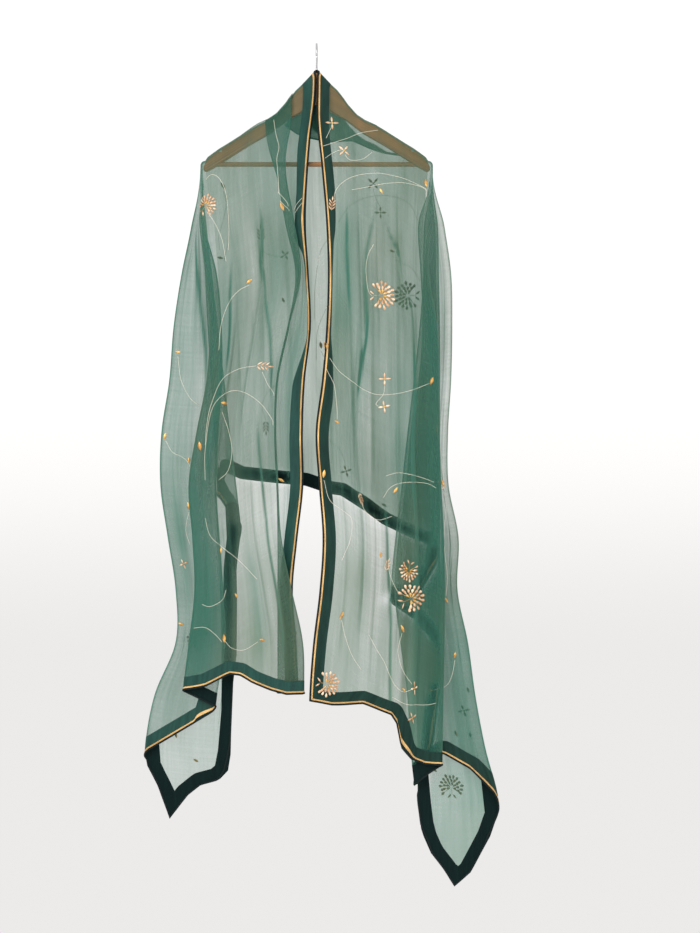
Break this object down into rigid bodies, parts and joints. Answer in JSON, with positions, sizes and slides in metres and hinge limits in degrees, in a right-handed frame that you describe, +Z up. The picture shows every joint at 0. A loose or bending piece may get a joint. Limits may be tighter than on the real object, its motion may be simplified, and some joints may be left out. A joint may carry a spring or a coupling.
{
  "type": "dupatta stole on a wooden hanger",
  "caption": "Sheer green organza dupatta with dark satin borders and gold tape, hung over a wooden suit hanger so that it opens at the front and falls in two long pointed ends.",
  "frame": {"origin": "inside of the crown of the hanger's hook, where the rail carries it", "axes": "+Z up, +X to the viewer's right as one faces the open front, -Y towards the viewer"},
  "size_m": [0.6767, 0.0999, 1.6071],
  "materials": {
    "organza": "sheer green organza with a soft sheen",
    "satin": "dark green satin",
    "gold": "woven gold tape",
    "wood": "waxed light brown wood",
    "steel": "bright steel wire"
  },
  "bodies": {
    "root": {"stole_left": "organza", "stole_right": "organza", "stole_back": "organza", "neck_border_left": "satin", "neck_border_top_left": "satin", "neck_border_back": "satin", "neck_border_right": "satin", "neck_border_top_right": "satin", "end_border_left": "satin", "end_border_right": "satin", "outer_border_left": "satin", "outer_border_back": "satin", "outer_border_right": "satin", "neck_gold_left": "gold", "neck_gold_back": "gold", "neck_gold_right": "gold", "end_gold_left": "gold", "end_gold_right": "gold", "outer_gold_left": "gold", "outer_gold_back": "gold", "outer_gold_right": "gold", "hanger_shoulder": "wood", "hanger_bar": "wood", "hanger_hook": "steel"}
  },
  "joints": []
}
